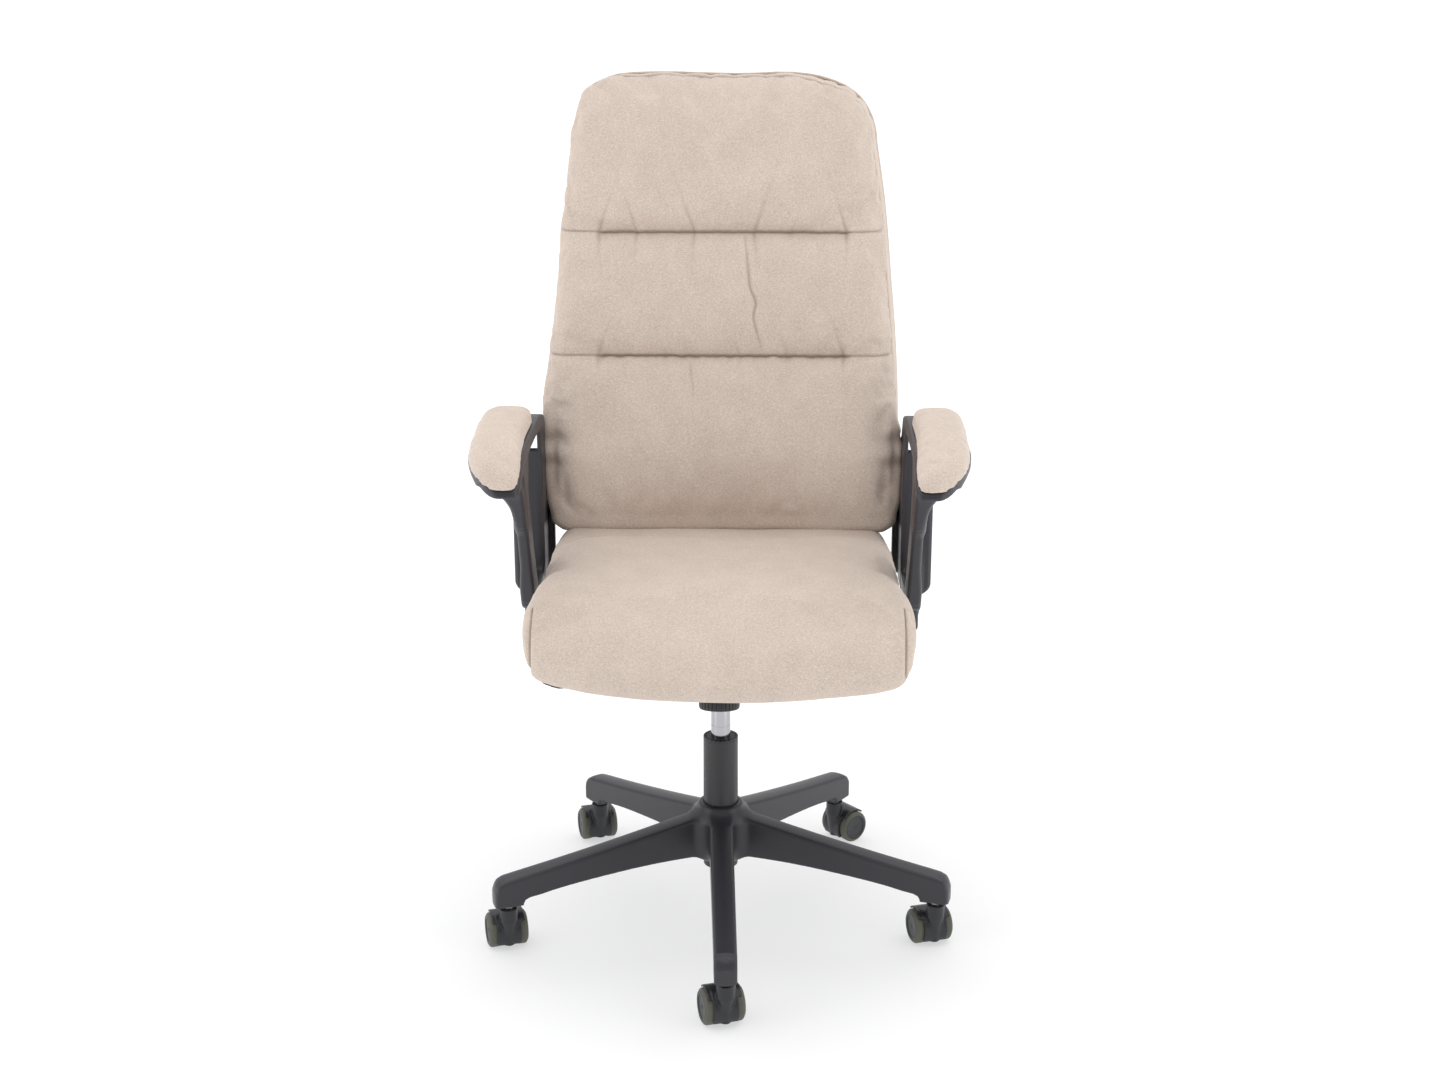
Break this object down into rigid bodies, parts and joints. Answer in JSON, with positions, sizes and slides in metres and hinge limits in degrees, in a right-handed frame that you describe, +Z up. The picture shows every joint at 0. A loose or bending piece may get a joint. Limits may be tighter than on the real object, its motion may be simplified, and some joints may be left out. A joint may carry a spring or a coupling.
{
  "type": "swivel office chair",
  "caption": "High-back swivel office chair with padded seat, closed-loop padded arms, tilt mechanism, gas lift and star base on twin-wheel casters.",
  "frame": {"origin": "on the floor directly under the column axis", "axes": "+Z up along the column; the sitter faces -Y; +X is to the sitter's left"},
  "size_m": [0.6754, 0.7224, 1.2],
  "materials": {
    "cushion_fabric": "beige melange weave, matt",
    "black_nylon": "fine spark texture, slight sheen",
    "caster_nylon": "satin moulded",
    "wheel_cap": "satin moulded",
    "soft_tread": "soft polyurethane, matt",
    "black_tube": "powder coat, satin",
    "bright_steel": "ground and satin",
    "chrome_tube": "hard chrome, drawn",
    "housing_paint": "powder coat, matt",
    "spring_steel": "oiled spring wire",
    "plywood": "birch ply, bare",
    "red_plastic": "glossy"
  },
  "bodies": {
    "base": {"star_base": "black_nylon", "caster_stems": "bright_steel", "column_tube": "black_tube", "column_bushing": "black_nylon", "thrust_bearing": "bright_steel"},
    "rod": {"piston_rod": "bright_steel", "retaining_clip": "bright_steel"},
    "lift": {"gas_cylinder": "chrome_tube", "tilt_housing": "housing_paint", "pivot_pin": "bright_steel", "tension_spring": "spring_steel"},
    "tilt": {"seat_plate": "housing_paint", "seat_board": "plywood", "seat_cushion": "cushion_fabric", "seat_bolts": "bright_steel", "back_board": "plywood", "back_cushion": "cushion_fabric", "back_panel": "cushion_fabric", "arm_frame_left": "black_nylon", "arm_frame_right": "black_nylon", "arm_pad_left": "cushion_fabric", "arm_pad_right": "cushion_fabric", "arm_bolts": "bright_steel"},
    "tension": {"tension_bolt": "bright_steel"},
    "cup": {"spring_cup": "bright_steel"},
    "knob": {"tension_knob": "black_nylon"},
    "slider": {"lock_slider": "black_nylon"},
    "lever": {"lever_rod": "black_tube", "lever_paddle": "black_nylon"},
    "button": {"release_button": "red_plastic"},
    "caster_front": {"caster_hood_front": "caster_nylon", "caster_axle_front": "bright_steel"},
    "wheel_front_l": {"wheel_core_front_l": "wheel_cap", "wheel_tread_front_l": "soft_tread"},
    "wheel_front_r": {"wheel_core_front_r": "wheel_cap", "wheel_tread_front_r": "soft_tread"},
    "caster_right": {"caster_hood_right": "caster_nylon", "caster_axle_right": "bright_steel"},
    "wheel_right_l": {"wheel_core_right_l": "wheel_cap", "wheel_tread_right_l": "soft_tread"},
    "wheel_right_r": {"wheel_core_right_r": "wheel_cap", "wheel_tread_right_r": "soft_tread"},
    "caster_rear_right": {"caster_hood_rear_right": "caster_nylon", "caster_axle_rear_right": "bright_steel"},
    "wheel_rear_right_l": {"wheel_core_rear_right_l": "wheel_cap", "wheel_tread_rear_right_l": "soft_tread"},
    "wheel_rear_right_r": {"wheel_core_rear_right_r": "wheel_cap", "wheel_tread_rear_right_r": "soft_tread"},
    "caster_rear_left": {"caster_hood_rear_left": "caster_nylon", "caster_axle_rear_left": "bright_steel"},
    "wheel_rear_left_l": {"wheel_core_rear_left_l": "wheel_cap", "wheel_tread_rear_left_l": "soft_tread"},
    "wheel_rear_left_r": {"wheel_core_rear_left_r": "wheel_cap", "wheel_tread_rear_left_r": "soft_tread"},
    "caster_left": {"caster_hood_left": "caster_nylon", "caster_axle_left": "bright_steel"},
    "wheel_left_l": {"wheel_core_left_l": "wheel_cap", "wheel_tread_left_l": "soft_tread"},
    "wheel_left_r": {"wheel_core_left_r": "wheel_cap", "wheel_tread_left_r": "soft_tread"}
  },
  "joints": [
    {"name": "swivel", "type": "hinge", "parent": "base", "child": "rod", "pos_m": [0, 0, 0.09], "axis": [0, 0, 1], "continuous": true},
    {"name": "lift_slide", "type": "slide", "parent": "rod", "child": "lift", "axis": [0, 0, 1], "range_m": [-0.085, 0.015]},
    {"name": "seat_tilt", "type": "hinge", "parent": "lift", "child": "tilt", "pos_m": [0, -0.038, 0.425], "axis": [-1, 0, 0], "range_deg": [0, 15], "stiffness_Nm_per_rad": 150, "springref_deg": -8.59, "deforming": ["tension_spring"]},
    {"name": "tension_travel", "type": "slide", "parent": "lift", "child": "tension", "axis": [0, 0.1908, 0.9816], "range_m": [0, 0.0118]},
    {"name": "cup_travel", "type": "slide", "parent": "tension", "child": "cup", "axis": [0, 0.1908, 0.9816], "range_m": [-0.0079, 0]},
    {"name": "knob_turn", "type": "hinge", "parent": "cup", "child": "knob", "pos_m": [0, -0.083, 0.425], "axis": [0, 0.1908, 0.9816], "range_deg": [-1900, 0]},
    {"name": "lock_pull", "type": "slide", "parent": "lift", "child": "slider", "axis": [-1, 0, 0], "range_m": [0, 0.012]},
    {"name": "lever_lift", "type": "hinge", "parent": "slider", "child": "lever", "pos_m": [-0.038, 0, 0.4175], "axis": [0, 1, 0], "range_deg": [0, 7], "stiffness_Nm_per_rad": 14, "springref_deg": -5.16},
    {"name": "button_press", "type": "slide", "parent": "lift", "child": "button", "axis": [0, 0, 1], "range_m": [-0.0046, 0], "stiffness_N_per_m": 900, "springref_m": 0.003},
    {"name": "caster_swivel_front", "type": "hinge", "parent": "base", "child": "caster_front", "pos_m": [0.01288, -0.32074, 0.055], "axis": [0, 0, 1], "continuous": true},
    {"name": "wheel_spin_front_l", "type": "hinge", "parent": "caster_front", "child": "wheel_front_l", "pos_m": [0.00703, -0.30162, 0.025], "axis": [0.9563, 0.2924, 0], "continuous": true},
    {"name": "wheel_spin_front_r", "type": "hinge", "parent": "caster_front", "child": "wheel_front_r", "pos_m": [0.00703, -0.30162, 0.025], "axis": [0.9563, 0.2924, 0], "continuous": true},
    {"name": "caster_swivel_right", "type": "hinge", "parent": "base", "child": "caster_right", "pos_m": [0.30902, -0.08686, 0.055], "axis": [0, 0, 1], "continuous": true},
    {"name": "wheel_spin_right_l", "type": "hinge", "parent": "caster_right", "child": "wheel_right_l", "pos_m": [0.30318, -0.06774, 0.025], "axis": [0.9563, 0.2924, 0], "continuous": true},
    {"name": "wheel_spin_right_r", "type": "hinge", "parent": "caster_right", "child": "wheel_right_r", "pos_m": [0.30318, -0.06774, 0.025], "axis": [0.9563, 0.2924, 0], "continuous": true},
    {"name": "caster_swivel_rear_right", "type": "hinge", "parent": "base", "child": "caster_rear_right", "pos_m": [0.17811, 0.26706, 0.055], "axis": [0, 0, 1], "continuous": true},
    {"name": "wheel_spin_rear_right_l", "type": "hinge", "parent": "caster_rear_right", "child": "wheel_rear_right_l", "pos_m": [0.19343, 0.27991, 0.025], "axis": [0.6428, -0.766, 0], "continuous": true},
    {"name": "wheel_spin_rear_right_r", "type": "hinge", "parent": "caster_rear_right", "child": "wheel_rear_right_r", "pos_m": [0.19343, 0.27991, 0.025], "axis": [0.6428, -0.766, 0], "continuous": true},
    {"name": "caster_swivel_rear_left", "type": "hinge", "parent": "base", "child": "caster_rear_left", "pos_m": [-0.19895, 0.25191, 0.055], "axis": [0, 0, 1], "continuous": true},
    {"name": "wheel_spin_rear_left_l", "type": "hinge", "parent": "caster_rear_left", "child": "wheel_rear_left_l", "pos_m": [-0.2048, 0.27104, 0.025], "axis": [0.9563, 0.2924, 0], "continuous": true},
    {"name": "wheel_spin_rear_left_r", "type": "hinge", "parent": "caster_rear_left", "child": "wheel_rear_left_r", "pos_m": [-0.2048, 0.27104, 0.025], "axis": [0.9563, 0.2924, 0], "continuous": true},
    {"name": "caster_swivel_left", "type": "hinge", "parent": "base", "child": "caster_left", "pos_m": [-0.30106, -0.11137, 0.055], "axis": [0, 0, 1], "continuous": true},
    {"name": "wheel_spin_left_l", "type": "hinge", "parent": "caster_left", "child": "wheel_left_l", "pos_m": [-0.30691, -0.09224, 0.025], "axis": [0.9563, 0.2924, 0], "continuous": true},
    {"name": "wheel_spin_left_r", "type": "hinge", "parent": "caster_left", "child": "wheel_left_r", "pos_m": [-0.30691, -0.09224, 0.025], "axis": [0.9563, 0.2924, 0], "continuous": true}
  ],
  "couplings": [
    {"joint": "tension_travel", "follows": "seat_tilt", "m_per_rad": 0.0448},
    {"joint": "knob_turn", "follows": "cup_travel", "rad_per_m": 4188.8},
    {"joint": "button_press", "follows": "lever_lift", "m_per_rad": -0.0375}
  ]
}
